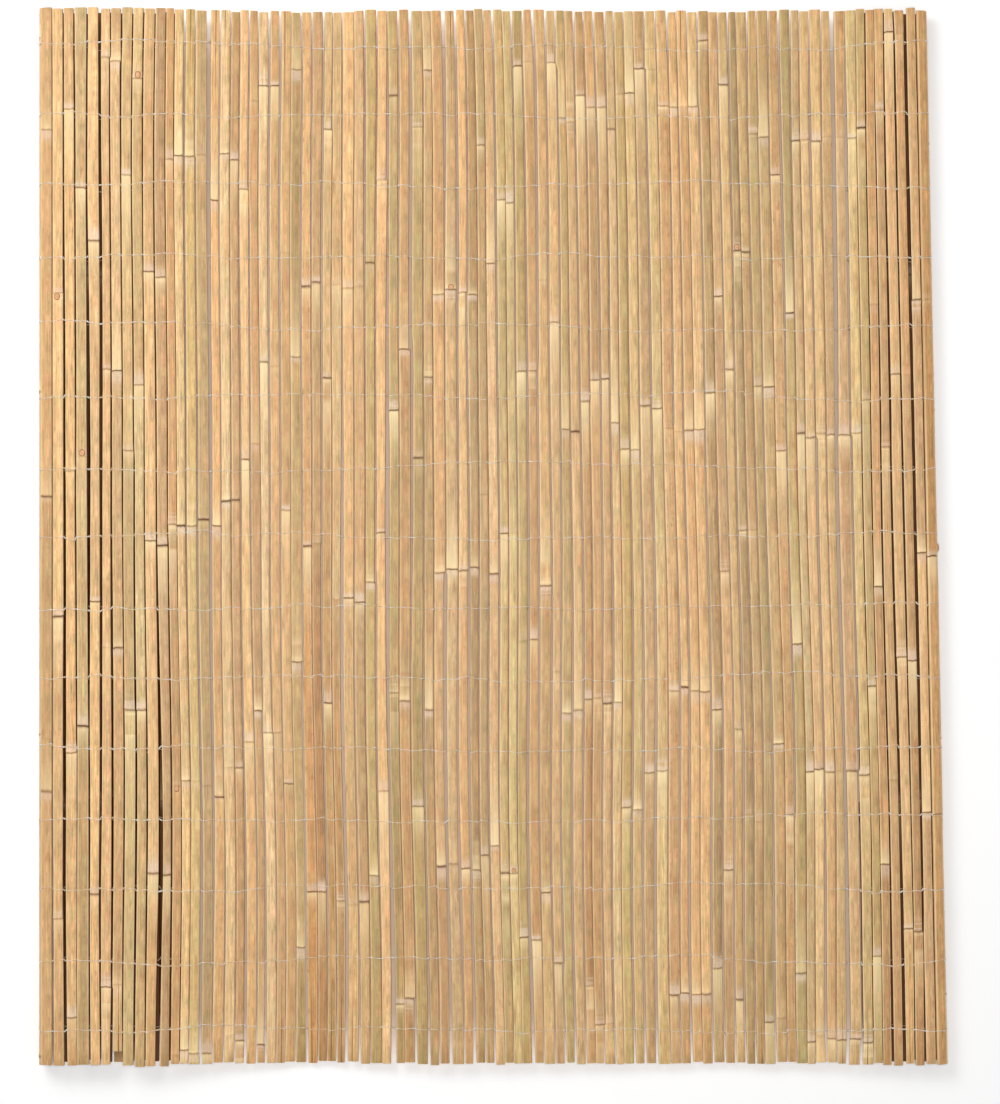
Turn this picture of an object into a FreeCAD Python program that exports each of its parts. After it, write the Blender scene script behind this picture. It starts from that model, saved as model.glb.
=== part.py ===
"""Bamboo fence panel: a screen of split bamboo slats bound side by side with rows of doubled wire.

The panel lies skin side up, as a roll of screening does when it is opened on the ground: both ends
are still turned under. Seen along the slats it is one line of slats: a left flap under the panel,
the left turn, the face, the right turn and a right flap. Its slats are followed in that order.

X runs across the panel, Y along the slats and Z up. The origin is under the middle of the panel,
on the ground.
"""
import FreeCAD, Part
import math
import os
import random

import Sketcher
from FreeCAD import Placement, Rotation, Vector

SIZES = (
    ("slat_length", 1500.0, "height of the screen, from cut end to cut end"),
    ("slat_width", 12.65, "mean width of a slat"),
    ("left_extra_width", 1.8, "how much wider the slats of the left end are"),
    ("width_spread", 1.7, "most that a slat is wider or narrower than the mean"),
    ("slat_thickness", 4.5, "back face to skin face"),
    ("edge_bevel", 1.5, "width of the round-off along each edge of the skin face"),
    ("bevel_depth", 0.9, "depth of the round-off"),
    ("end_scatter", 3.6, "most that a cut end falls short of the full length"),
    ("short_slat_cut", 22.0, "how far the lower end of the one short slat falls short"),
    ("slat_clearance", 0.4, "least gap between two slats at mid thickness"),
    ("face_play", 1.3, "mean extra gap between slats of the face and the right end"),
    ("left_play", 2.2, "mean extra gap between slats of the left end, where the binding is looser"),
    ("end_drift", 1.3, "most that two neighbours draw together or apart at their ends"),
    ("fan_spread", 30.0, "how much wider the panel is at its lower end than at its top"),
    ("node_pitch_min", 360.0, "shortest stretch of culm between two nodes"),
    ("node_pitch_max", 520.0, "longest stretch of culm between two nodes"),
    ("node_scatter", 5.0, "most that a node is off its neighbours' height in one culm"),
    ("node_length", 9.0, "length of a node ridge along the slat"),
    ("node_inset", 0.2, "bare strip between the side of a ridge and the round-off"),
    ("wire_thickness", 0.9, "thickness of a strand of binding wire"),
    ("wire_clearance", 0.1, "gap between a slat's faces and the strands"),
    ("wire_end_gap", 1.0, "gap between the last slat and the wire's turn around it"),
    ("row_margin", 50.0, "first and last row to the cut ends"),
    ("slope_clear", 14.0, "ground to the wire half-way down the left slope"),
    ("left_foot_clear", 4.0, "ground to the wire where the left slope ends"),
    ("middle_clear", 20.0, "ground to the wire at the rise in the middle"),
    ("middle_right_clear", 15.0, "ground to the wire right of the middle"),
    ("right_foot_clear", 9.0, "ground to the wire where the right slope starts"),
    ("right_slope_clear", 15.0, "ground to the wire half-way up the right slope"),
)

ROW_COUNT = 15          # rows of binding wire
LEFT_FLAP_SLATS = 11
RIGHT_FLAP_SLATS = 6

# Directions of the slats in the turns, in degrees from +X towards +Z, along the row. Both turns are
# tight: one slat stands nearly upright in each.
LEFT_TURN = (155.0, 80.0, 15.0)
RIGHT_TURN = (-20.0, -95.0, -160.0)

# The face in flat stretches, from the left turn to the right one: slats, and the clear height that
# the stretch ends at. None is level with its neighbour: the left shoulder, and the right turn's top.
FACE_STRETCHES = (
    (8, None),
    (8, "slope_clear"),
    (7, "left_foot_clear"),
    (12, "middle_clear"),
    (14, "middle_right_clear"),
    (12, "right_foot_clear"),
    (10, "right_slope_clear"),
    (11, None),
)

# Slats bundled in one node, by zone: the zone's name and its number of bundles.
BUNDLES = (
    ("left_flap_slats", 4),
    ("left_turn_slats", 2),
    ("face_slats", 33),
    ("right_turn_slats", 2),
    ("right_flap_slats", 3),
)

SHORT_SLAT = 6          # counted along the face from the left
HIDDEN_NODES = 2        # ridges on a slat of a flap
CULM_CHANGE = 0.68      # chance that the next slat is split from another culm
CORNER_DRIFT = 0.3      # share of its lean that a slat beside a bend keeps
DRIFT_MEMORY = 0.8      # how much of its neighbour's lean a slat takes over
MOST_PLAY = 3.0         # widest extra gap, in times the mean
MOST_LEFT_PLAY = 1.8    # the same in the left end
GAP_PASSES = 3          # rounds in which gaps and directions settle
SEED = 14

doc = FreeCAD.newDocument("bamboo_fence_panel")
rng = random.Random(SEED)


def make_sheet():
    """Put the driving dimensions into a spreadsheet, one alias a row."""
    sheet = doc.addObject("Spreadsheet::Sheet", "Sizes")
    for row, (name, value, note) in enumerate(SIZES, 1):
        sheet.set(f"A{row}", name)
        sheet.set(f"B{row}", str(value))
        sheet.setAlias(f"B{row}", name)
        sheet.set(f"C{row}", note)
    doc.recompute()
    return sheet


sheet = make_sheet()


def size(name):
    return float(sheet.get(name))


class Slat:
    """One slat of the row: its zone, own sizes, and later its place."""

    def __init__(self, zone, stretch):
        self.zone = zone
        self.stretch = stretch
        self.at_left_end = stretch <= len(LEFT_TURN) + 1
        self.widening = rng.uniform(-1.0, 1.0) * size("width_spread")
        if self.at_left_end:
            self.widening += size("left_extra_width")
        self.width = size("slat_width") + self.widening
        self.top_cut = rng.random() * size("end_scatter")
        self.bottom_cut = rng.random() * size("end_scatter")
        self.play = min(rng.expovariate(1.0), MOST_LEFT_PLAY if self.at_left_end else MOST_PLAY)
        self.gap = size("slat_clearance")
        self.lean = 0.0
        self.nodes = []


def row_of_slats():
    """Every slat from the free edge of the left flap to that of the right flap, and the stretches."""
    plan = [("left_flap_slats", LEFT_FLAP_SLATS)]
    plan += [("left_turn_slats", 1)] * len(LEFT_TURN)
    plan += [("face_slats", count) for count, _ in FACE_STRETCHES]
    plan += [("right_turn_slats", 1)] * len(RIGHT_TURN)
    plan += [("right_flap_slats", RIGHT_FLAP_SLATS)]
    slats = []
    for stretch, (zone, count) in enumerate(plan):
        slats += [Slat(zone, stretch) for _ in range(count)]
    return slats, len(plan)


def set_leans(slats):
    """Let neighbours drift in and out of parallel. Slats in the turns stay parallel to the ends."""
    lean = 0.0
    most = size("end_drift") / (size("slat_length") / 2)
    for slat in slats:
        lean = DRIFT_MEMORY * lean + rng.uniform(-most, most)
        if "turn" not in slat.zone:
            slat.lean = lean
    for slat, following in zip(slats, slats[1:]):
        if slat.stretch != following.stretch:
            slat.lean *= CORNER_DRIFT
            following.lean *= CORNER_DRIFT
    slats[0].lean = 0.0
    slats[-1].lean = 0.0


def set_nodes(slats, rows):
    """Give each slat its node heights. Slats split from one culm carry them side by side."""
    half = size("slat_length") / 2
    shortest = size("node_pitch_min")
    longest = size("node_pitch_max")
    apart = size("node_length") / 2 + size("wire_thickness") / 2 + size("slat_clearance")
    edge = size("node_length") + size("end_scatter")
    heights = []
    for slat in slats:
        if not heights or rng.random() < CULM_CHANGE:
            heights = []
            y = -half + rng.random() * longest
            while y < half:
                heights.append(y)
                y += rng.uniform(shortest, longest)
        if slat.zone.endswith("flap_slats"):
            chosen = [(k + 0.5) / HIDDEN_NODES * 2 * half - half for k in range(HIDDEN_NODES)]
        else:
            chosen = heights
        for y in chosen:
            y += rng.uniform(-1.0, 1.0) * size("node_scatter")
            nearest = min(rows, key=lambda row: abs(row - y))
            if abs(y - nearest) < apart:
                y = nearest + math.copysign(apart, y - nearest)
            if abs(y) < half - edge:
                slat.nodes.append(y)


def set_gaps(slats, headings):
    """Gap from each slat to the next. At a bend the inner edges close up, so it is wider there."""
    half = size("slat_length") / 2
    clearance = size("slat_clearance")
    for slat, following in zip(slats, slats[1:]):
        drift = half * abs(slat.lean - following.lean)
        play = size("left_play") if slat.at_left_end else size("face_play")
        slat.gap = clearance + drift + slat.play * play
        if slat.stretch != following.stretch:
            bend = abs(headings[slat.stretch] - headings[following.stretch])
            closing = size("slat_thickness") * math.tan(bend / 2)
            drift = half * (abs(slat.lean) + abs(following.lean))
            slat.gap = clearance + closing + drift + slat.play * play / 2


def stretch_lengths(slats, count):
    """Length of each stretch along the row, from mid gap to mid gap."""
    lengths = [0.0] * count
    before = 0.0
    for slat in slats:
        lengths[slat.stretch] += before / 2 + slat.width + slat.gap / 2
        before = slat.gap
    return lengths


def ground_level():
    """Height of the mid plane of a slat that lies on the ground, skin down, on ridges and wires."""
    return size("slat_thickness") / 2 + size("wire_clearance") + size("wire_thickness")


def stretch_headings(lengths):
    """Direction of each stretch in the XZ plane, in radians from +X towards +Z."""
    left_turn = [math.radians(heading) for heading in LEFT_TURN]
    right_turn = [math.radians(heading) for heading in RIGHT_TURN]
    first_face = 1 + len(LEFT_TURN)
    after_face = first_face + len(FACE_STRETCHES)
    left_rise = sum(a * math.sin(b) for a, b in zip(lengths[1:first_face], left_turn))
    right_drop = sum(a * math.sin(b) for a, b in zip(lengths[after_face:-1], right_turn))
    tops = [ground_level() + left_rise] + [None] * (len(FACE_STRETCHES) - 1)
    for k, (_, clear) in enumerate(FACE_STRETCHES):
        if clear:
            tops[k] = ground_level() + size(clear)
    tops[-1] = ground_level() - right_drop
    starts = [tops[0]] + tops[:-1]
    face = [math.asin((end - start) / length)
            for start, end, length in zip(starts, tops, lengths[first_face:after_face])]
    return [math.pi] + left_turn + face + right_turn + [-math.pi]


def place_slats(slats, headings):
    """Walk along the row and give every slat its centre. Returns the corners between stretches."""
    x = 0.0
    z = ground_level()
    corners = [(x, z)]
    before = 0.0
    stretch = 0
    for slat in slats:
        if slat.stretch != stretch:
            stretch = slat.stretch
            corners.append((x, z))
        heading = headings[stretch]
        to_centre = before / 2 + slat.width / 2
        slat.centre = (x + math.cos(heading) * to_centre, z + math.sin(heading) * to_centre)
        along = to_centre + slat.width / 2 + slat.gap / 2
        x += math.cos(heading) * along
        z += math.sin(heading) * along
        before = slat.gap
    corners.append((x, z))
    return corners


def lay_out(slats, count, rows):
    """Settle leans, nodes, gaps and places. The gaps at bends need the headings, so they go round."""
    set_leans(slats)
    set_nodes(slats, rows)
    slats[-1].gap = 0.0
    headings = stretch_headings(stretch_lengths(slats, count))
    for _ in range(GAP_PASSES):
        set_gaps(slats, headings)
        headings = stretch_headings(stretch_lengths(slats, count))
    return headings, place_slats(slats, headings)


def plane_of(body, role):
    return next(plane for plane in body.Origin.OriginFeatures if plane.Role == role)


def dimension(sketch, name, constraint, expression):
    """Add a driving dimension and bind it to the sheet."""
    index = sketch.addConstraint(constraint)
    sketch.renameConstraint(index, name)
    sketch.setExpression(f"Constraints.{name}", expression)


def closed_loop(first, count):
    """Join count lines, from number first on, end to end."""
    return [Sketcher.Constraint("Coincident", first + k, 2, first + (k + 1) % count, 1)
            for k in range(count)]


def sketch_section(body, slat, name):
    """Cross-section: flat back, square sides, rounded-off edges and the skin face on top."""
    side = slat.width / 2
    thickness = size("slat_thickness")
    bevel = size("edge_bevel")
    depth = size("bevel_depth")
    outline = ((-side, 0), (side, 0), (side, thickness - depth), (side - bevel, thickness),
               (bevel - side, thickness), (-side, thickness - depth))
    points = [Vector(across, up, 0) for across, up in outline]
    sketch = body.newObject("Sketcher::SketchObject", f"section_{name}")
    sketch.AttachmentSupport = [(plane_of(body, "XZ_Plane"), "")]
    sketch.MapMode = "FlatFace"
    sketch.addGeometry([Part.LineSegment(a, b) for a, b in zip(points, points[1:] + points[:1])], False)
    sketch.addConstraint(closed_loop(0, len(points)) + [
        Sketcher.Constraint("PointOnObject", 0, 1, -1),
        Sketcher.Constraint("Symmetric", 0, 1, 0, 2, -2),
        Sketcher.Constraint("Symmetric", 3, 1, 3, 2, -2),
        Sketcher.Constraint("Vertical", 1),
        Sketcher.Constraint("Vertical", 5),
        Sketcher.Constraint("Equal", 1, 5),
    ])
    dimension(sketch, "width", Sketcher.Constraint("DistanceX", 0, 1, 0, 2, slat.width),
              f"Sizes.slat_width + {slat.widening:.4f}")
    dimension(sketch, "thickness", Sketcher.Constraint("DistanceY", 0, 2, 2, 2, thickness),
              "Sizes.slat_thickness")
    dimension(sketch, "bevel", Sketcher.Constraint("DistanceX", 2, 2, 2, 1, bevel), "Sizes.edge_bevel")
    dimension(sketch, "depth", Sketcher.Constraint("DistanceY", 2, 1, 2, 2, depth), "Sizes.bevel_depth")
    return sketch


def sketch_ridges(body, slat, middle, name):
    """Side view of the node ridges: a low triangle on the skin face at each node."""
    thickness = size("slat_thickness")
    length = size("node_length")
    proud = size("wire_clearance") + size("wire_thickness")
    sketch = body.newObject("Sketcher::SketchObject", f"nodes_{name}")
    sketch.AttachmentSupport = [(plane_of(body, "YZ_Plane"), "")]
    sketch.MapMode = "FlatFace"
    for k, node in enumerate(slat.nodes):
        y = node - middle
        corners = (Vector(y - length / 2, thickness, 0), Vector(y + length / 2, thickness, 0),
                   Vector(y, thickness + proud, 0))
        base, rise, fall = 3 * k, 3 * k + 1, 3 * k + 2
        sketch.addGeometry([Part.LineSegment(a, b) for a, b in zip(corners, corners[1:] + corners[:1])],
                           False)
        sketch.addConstraint(closed_loop(base, 3) + [Sketcher.Constraint("Horizontal", base),
                                                     Sketcher.Constraint("Equal", rise, fall)])
        place = sketch.addConstraint(Sketcher.Constraint("DistanceX", -1, 1, rise, 2, y))
        sketch.renameConstraint(place, f"place{k}")
        dimension(sketch, f"face{k}", Sketcher.Constraint("DistanceY", -1, 1, base, 1, thickness),
                  "Sizes.slat_thickness")
        dimension(sketch, f"proud{k}", Sketcher.Constraint("DistanceY", rise, 1, rise, 2, proud),
                  "Sizes.wire_clearance + Sizes.wire_thickness")
        dimension(sketch, f"length{k}", Sketcher.Constraint("DistanceX", base, 1, base, 2, length),
                  "Sizes.node_length")
    return sketch


def make_slat(slat, name, heading, fan):
    """A slat as a body: its section padded to its length, and the node ridges padded across it."""
    body = doc.addObject("PartDesign::Body", f"slat_{name}")
    pad = body.newObject("PartDesign::Pad", f"split_{name}")
    pad.Profile = sketch_section(body, slat, name)
    pad.Midplane = True
    pad.setExpression("Length", f"Sizes.slat_length - {slat.top_cut + slat.bottom_cut:.4f}")
    middle = (slat.bottom_cut - slat.top_cut) / 2
    if slat.nodes:
        ridges = body.newObject("PartDesign::Pad", f"ridges_{name}")
        ridges.Profile = sketch_ridges(body, slat, middle, name)
        ridges.Midplane = True
        ridges.setExpression("Length", f"Sizes.slat_width + {slat.widening:.4f}"
                                       " - 2 * (Sizes.edge_bevel + Sizes.node_inset)")
    x, z = slat.centre
    spread = Rotation(Vector(0, 0, 1), math.degrees(math.atan(fan * x)))
    facing = Rotation(Vector(0, 1, 0), -math.degrees(heading))
    lean = Rotation(Vector(0, 0, 1), math.degrees(slat.lean))
    turned = spread * facing * lean
    back_to_middle = Vector(0, middle, -size("slat_thickness") / 2)
    body.Placement = Placement(Vector(x, 0, z) + turned.multVec(back_to_middle), turned)
    return body


def offset_line(corners, headings, distance):
    """The row's line moved towards the skin side by distance, with its corners mitred."""
    line = []
    last = len(corners) - 1
    for k, (x, z) in enumerate(corners):
        before = headings[max(k - 1, 0)]
        after = headings[min(k, last - 1)]
        middle = (before + after) / 2
        reach = distance / math.cos((before - after) / 2)
        line.append((x - math.sin(middle) * reach, z + math.cos(middle) * reach))
    return line


def lengthened(corners, headings, by):
    """The row's line with both free ends carried on by a distance."""
    (x0, z0), (x1, z1) = corners[0], corners[-1]
    first = (x0 - math.cos(headings[0]) * by, z0 - math.sin(headings[0]) * by)
    last = (x1 + math.cos(headings[-1]) * by, z1 + math.sin(headings[-1]) * by)
    return [first] + corners[1:-1] + [last]


def wire_loop(corners, headings, grow, y, fan):
    """Closed wire around the whole row of slats, grow away from their faces."""
    reach = size("slat_thickness") / 2 + grow
    row = lengthened(corners, headings, size("wire_end_gap") + grow)
    skin_side = offset_line(row, headings, reach)
    back_side = offset_line(row, headings, -reach)
    loop = [Vector(x - fan * x * y, y, z) for x, z in skin_side + back_side[::-1]]
    return Part.makePolygon(loop + loop[:1])


def make_wire(number, y, corners, headings, fan):
    """A row of binding wire: one wire doubled back around the end slats, in front and behind."""
    thickness = size("wire_thickness")
    clearance = size("wire_clearance")
    start = y - thickness / 2
    outer = wire_loop(corners, headings, clearance + thickness, start, fan)
    inner = wire_loop(corners, headings, clearance, start, fan)
    outline = doc.addObject("Part::Feature", f"wire_outline_{number:02d}")
    outline.Shape = Part.makeFace([outer, inner], "Part::FaceMakerBullseye")
    wire = doc.addObject("Part::Extrusion", f"binding_wire_{number:02d}")
    wire.Base = outline
    wire.DirMode = "Custom"
    wire.Dir = Vector(0, 1, 0)
    wire.setExpression("LengthFwd", "Sizes.wire_thickness")
    wire.Solid = True
    return wire


def bundle(zone, number, members):
    node = doc.addObject("Part::Compound", f"{zone}_{number:02d}")
    node.Links = members
    return node


def stop_if_failed(objects):
    """Refuse to write anything if a feature failed or a sub-part is null or not valid."""
    for item in doc.Objects:
        if "Invalid" in item.State or "Error" in item.State:
            raise RuntimeError(f"{item.Label} failed: {item.State}")
    for item in objects:
        if item.Shape.isNull() or not item.Shape.isValid():
            raise RuntimeError(f"{item.Label} is null or not valid")


def centre_on_origin(nodes):
    """Put the middle of the panel over the origin, with its lowest side on the ground."""
    box = FreeCAD.BoundBox()
    for node in nodes:
        box.add(node.Shape.BoundBox)
    shift = Placement(Vector(-box.Center.x, -box.Center.y, -box.ZMin), Rotation())
    for node in nodes:
        node.Placement = shift.multiply(node.Placement)


def make_panel():
    half = size("slat_length") / 2
    first_row = half - size("row_margin")
    rows = [first_row - 2 * first_row * k / (ROW_COUNT - 1) for k in range(ROW_COUNT)]

    slats, stretch_count = row_of_slats()
    headings, corners = lay_out(slats, stretch_count, rows)
    face = [slat for slat in slats if slat.zone == "face_slats"]
    face[SHORT_SLAT - 1].bottom_cut = size("short_slat_cut")
    face[SHORT_SLAT - 1].nodes = [y for y in face[SHORT_SLAT - 1].nodes if y > rows[-1]]

    # the fan opens from the left edge, so x is counted from there
    left_edge = min(x for x, _ in corners)
    right_edge = max(x for x, _ in corners)
    corners = [(x - left_edge, z) for x, z in corners]
    for slat in slats:
        slat.centre = (slat.centre[0] - left_edge, slat.centre[1])
    fan = size("fan_spread") / (right_edge - left_edge) / size("slat_length")

    nodes = []
    for zone, groups in BUNDLES:
        members = [slat for slat in slats if slat.zone == zone]
        bodies = [make_slat(slat, f"{zone}_{k:03d}", headings[slat.stretch], fan)
                  for k, slat in enumerate(members, 1)]
        for number in range(groups):
            first = len(bodies) * number // groups
            end = len(bodies) * (number + 1) // groups
            nodes.append(bundle(zone, number + 1, bodies[first:end]))
    for number, y in enumerate(rows, 1):
        nodes.append(make_wire(number, y, corners, headings, fan))

    doc.recompute()
    stop_if_failed(nodes)
    centre_on_origin(nodes)
    doc.recompute()
    stop_if_failed(nodes)
    return nodes


def export(nodes):
    os.makedirs("parts", exist_ok=True)
    for node in nodes:
        node.Shape.exportStep(f"parts/{node.Label}.step")
        print(node.Label, len(node.Shape.Solids), "solids")


export(make_panel())
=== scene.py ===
"""Bamboo fence panel: split slats, twisted binding wires and their finishes, around the CAD frame."""
import math
import random

import bpy
import numpy as np
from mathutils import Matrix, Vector


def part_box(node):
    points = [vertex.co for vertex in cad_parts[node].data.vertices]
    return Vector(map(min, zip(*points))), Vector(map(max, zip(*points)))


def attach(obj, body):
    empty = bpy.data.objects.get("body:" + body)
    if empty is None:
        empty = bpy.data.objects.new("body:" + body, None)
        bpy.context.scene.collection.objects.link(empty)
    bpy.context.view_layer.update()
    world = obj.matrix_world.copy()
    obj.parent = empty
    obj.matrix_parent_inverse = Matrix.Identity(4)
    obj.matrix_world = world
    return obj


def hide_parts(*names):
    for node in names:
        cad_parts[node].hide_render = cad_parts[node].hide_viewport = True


bl_info = {
    "name": "Bamboo Fence Panel",
    "version": (1, 0, 0),
    "blender": (4, 5, 0),
    "location": "View3D > Sidebar > Bamboo Panel",
    "description": "Dresses the slats and binding wires of a bamboo fence panel",
    "category": "Object",
}

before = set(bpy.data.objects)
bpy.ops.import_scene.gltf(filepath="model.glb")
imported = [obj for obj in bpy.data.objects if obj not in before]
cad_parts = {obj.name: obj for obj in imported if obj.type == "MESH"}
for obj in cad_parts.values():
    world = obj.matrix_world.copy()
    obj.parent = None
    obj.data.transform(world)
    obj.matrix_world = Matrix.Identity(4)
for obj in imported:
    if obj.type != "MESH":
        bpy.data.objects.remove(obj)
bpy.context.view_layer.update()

MM = 0.001
SEED = 31

# Zones of the row in the order in which it is walked, and the sort that keeps a zone's slats in order.
ZONES = (
    ("left_flap_slats", lambda slat: -slat.middle[0]),
    ("left_turn_slats", lambda slat: slat.middle[2]),
    ("face_slats", lambda slat: slat.middle[0]),
    ("right_turn_slats", lambda slat: -slat.middle[2]),
    ("right_flap_slats", lambda slat: -slat.middle[0]),
)

# Half of a slat's cross-section, from the middle of its skin to the middle of its back: share of the
# half width, and depth below the skin as a share of the thickness.
HALF_SECTION = (
    (0.0, 0.0), (0.5, 0.008), (0.82, 0.035), (0.94, 0.1), (1.0, 0.24),
    (1.0, 0.92), (0.93, 1.0), (0.0, 0.985),
)

# Rings of a slat around a node, in millimetres above it, and what each ring does there: how much of
# the ridge's height, and how strong the scar, the waxy bloom and the pale ring are.
NODE_RINGS = (
    (-34.0, 0.0, 0.0, 0.0, 0.0),
    (-18.0, 0.0, 0.0, 0.0, 0.25),
    (-9.0, 0.03, 0.0, 0.0, 0.6),
    (-4.5, 0.08, 0.0, 0.0, 0.9),
    (-2.2, 0.35, 0.1, 0.0, 1.0),
    (-0.8, 0.85, 0.75, 0.0, 0.6),
    (0.0, 0.45, 1.0, 0.1, 0.0),
    (0.8, 0.8, 0.55, 0.5, 0.0),
    (2.2, 0.4, 0.0, 1.0, 0.0),
    (4.5, 0.12, 0.0, 1.0, 0.0),
    (9.0, 0.0, 0.0, 0.85, 0.0),
    (13.0, 0.0, 0.0, 0.3, 0.0),
    (18.0, 0.0, 0.0, 0.0, 0.0),
)

# Rings of points along a slat, and how far the ridge of a node reaches from it.
SLAT_RINGS = 104
RIDGE_REACH = 4.5 * MM

# Neighbours whose nodes lie within this height of each other were split from one culm.
CULM_MATCH = 13 * MM

# Slats of the face over the left flap, and over the right one: their inner sides carry painted shade.
PAINTED_SHADE_LEFT = 9
PAINTED_SHADE_RIGHT = 5

# Golden slats at the left of the face, and slats beside a turn that stray less and less.
GOLDEN_SLATS = 9
CALM_SLATS = 9

# Where, across the panel, slats are brown over their lower half, and what stays of their colour.
BROWN_FROM = -0.277
BROWN_TO = -0.212
BROWN_SHARES = (0.86, 0.72, 0.6)

# Room in a narrow gap at most, in a wide one at least, and the most that lets a slat bend further.
NARROW_ROOM = 1.4 * MM
WIDE_ROOM = 2.6 * MM
MOST_ROOM = 5 * MM

# The most that a gap closes, as a share of its room: a narrow one, one between, and a wide one,
# which opens and closes like a wedge.
NARROW_CLOSES = 0.5
MIDDLE_CLOSES = 0.25
WIDE_CLOSES = 0.9

# How far the line between two slats strays on the face, and elsewhere.
FACE_STRAY = 1.0 * MM
TURN_STRAY = 0.25 * MM

# How red, green and blue follow the brightness of bamboo: dark parts are browner, light ones creamier.
SHADE_POWERS = (1.0, 1.19, 1.34)

# Shares of culms with their bloom above the nodes, of mottled slats, of slats split from one end,
# and of nodes that are faint, smudged, or creamy for a long way.
BLOOM_ABOVE = 0.72
MOTTLED = 0.12
SPLIT = 0.12
FAINT = 0.28
SMUDGED = 0.2
CREAMY = 0.5

# The waves in which the whole screen strays sideways: reach, waves along it, phase, phase across it.
SCREEN_WAVES = ((2.0 * MM, 4.6, 0.0, 7.0), (1.0 * MM, 9.5, 2.0, 6.0))

# Where a strand of wire is drawn over one slat, as shares of the slat's half width, how far inside
# the slat's sides, and how far it sinks there.
STRAND_SHARES = (-1.0, -0.72, 0.0, 0.72, 1.0)
STRAND_INSET = 0.15 * MM
STRAND_SINK = 0.9 * MM

# Edges of the floor that the panel shades, each from unshaded to shaded, and the lean of the right one.
SHADED_LEFT = (-0.632, -0.624)
SHADED_RIGHT = (0.612, 0.604)
SHADED_ENDS = (0.742, 0.68)
RIGHT_LEAN = 0.02

# How far apart two neighbouring slats lie in the noise of the grain, across it and along it.
GRAIN_ACROSS = 0.37
GRAIN_ALONG = 3 * GRAIN_ACROSS

# Edges sharper than this stay sharp on a slat, in degrees.
SHARP_EDGE = 38

SENSOR_WIDTH = 36.0


class Slat:
    """Where one slat lies and how large it is, read from its CAD solid."""

    def __init__(self, node, points, triangles):
        self.node = node
        a, b, c = (points[triangles[:, k]] for k in range(3))
        cross = np.cross(b - a, c - a)
        area = np.linalg.norm(cross, axis=1) / 2
        facing = np.round(cross / (2 * area[:, None] + 1e-15), 2)
        _, group = np.unique(facing, axis=0, return_inverse=True)
        total = np.bincount(group.ravel(), weights=area)
        back = group.ravel() == int(np.argmax(total))
        normal = -(cross[back].sum(axis=0))
        self.out = normal / np.linalg.norm(normal)
        low_end = points[points[:, 1] < points[:, 1].min() + 3 * MM]
        high_end = points[points[:, 1] > points[:, 1].max() - 3 * MM]
        levels = np.concatenate((low_end, high_end)) @ self.out
        if levels.mean() < (levels.max() + levels.min()) / 2:
            # more corners lie near the skin than at the back, so out has to point the other way
            self.out = -self.out
        along = high_end.mean(axis=0) - low_end.mean(axis=0)
        along -= self.out * (along @ self.out)
        self.along = along / np.linalg.norm(along)
        self.across = np.cross(self.along, self.out)
        levels = np.concatenate((low_end, high_end)) @ self.out
        self.thickness = float(levels.max() - levels.min())
        sides = points @ self.across
        self.half_width = float(sides.max() - sides.min()) / 2
        reach = points @ self.along
        self.length = float(reach.max() - reach.min())
        self.middle = (self.across * (sides.max() + sides.min()) / 2
                       + self.along * (reach.max() + reach.min()) / 2
                       + self.out * (levels.max() + levels.min()) / 2)
        proud = points @ self.out - levels.max()
        self.ridge = float(max(proud.max(), 0.0))
        tops = (reach[proud > self.ridge * 0.8] - self.middle @ self.along) if self.ridge else []
        self.nodes = sorted({round(float(y), 5) for y in tops})
        self.sides = (Gap(0.0, 0.0, (0.0, 1.0), random), Gap(0.0, 0.0, (0.0, 1.0), random))
        self.sway = []
        self.kinks = ((-1.0, 1.0), (0.0, 0.0))
        self.lines = []

    def station(self, y):
        """Distance along the slat at which it crosses the height y of the panel."""
        return (y - self.middle[1]) / self.along[1]

    def bend(self, s, share=0.0):
        """How far the slat strays sideways at a station, at a share of its half width."""
        stray = sum(reach * np.sin(s * wave + phase) for reach, wave, phase in self.sway)
        y = self.middle[1] + self.along[1] * s
        left, right = (side.shift(y, sign) for side, sign in zip(self.sides, (1, -1)))
        return stray + np.interp(s, *self.kinks) + left * (1 - share) / 2 + right * (1 + share) / 2

    def point(self, across, s, out):
        """A point beside, along and out of the slat's middle."""
        share = min(max(across / self.half_width, -1.0), 1.0)
        return (self.middle + self.across * (across + self.bend(s, share)) + self.along * s
                + self.out * out)

    def skin(self, s):
        """Height of the skin over the slat's middle, with the ridge of a node."""
        rise = 0.0
        for node in self.nodes:
            rise = max(rise, 1 - abs(s - node) / RIDGE_REACH)
        return self.thickness / 2 + self.ridge * max(rise, 0.0)


class Gap:
    """The line between two neighbours: both follow it, and both close it in some stretches."""

    def __init__(self, room, stray, heights, rng):
        self.room = room
        self.heights = heights
        self.middles = [stray * rng.uniform(-1, 1) for _ in heights]
        if room > WIDE_ROOM:
            self.closed = [WIDE_CLOSES * rng.choice((0.0, 1.0)) * rng.uniform(0.6, 1.0)
                           for _ in heights]
        else:
            most = NARROW_CLOSES if room < NARROW_ROOM else MIDDLE_CLOSES
            self.closed = [most * rng.random() for _ in heights]

    def shift(self, y, sign):
        """How far the edge on one side of the gap moves at a height."""
        closed = np.interp(y, self.heights, self.closed)
        return np.interp(y, self.heights, self.middles) - sign * closed * self.room / 2


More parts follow.
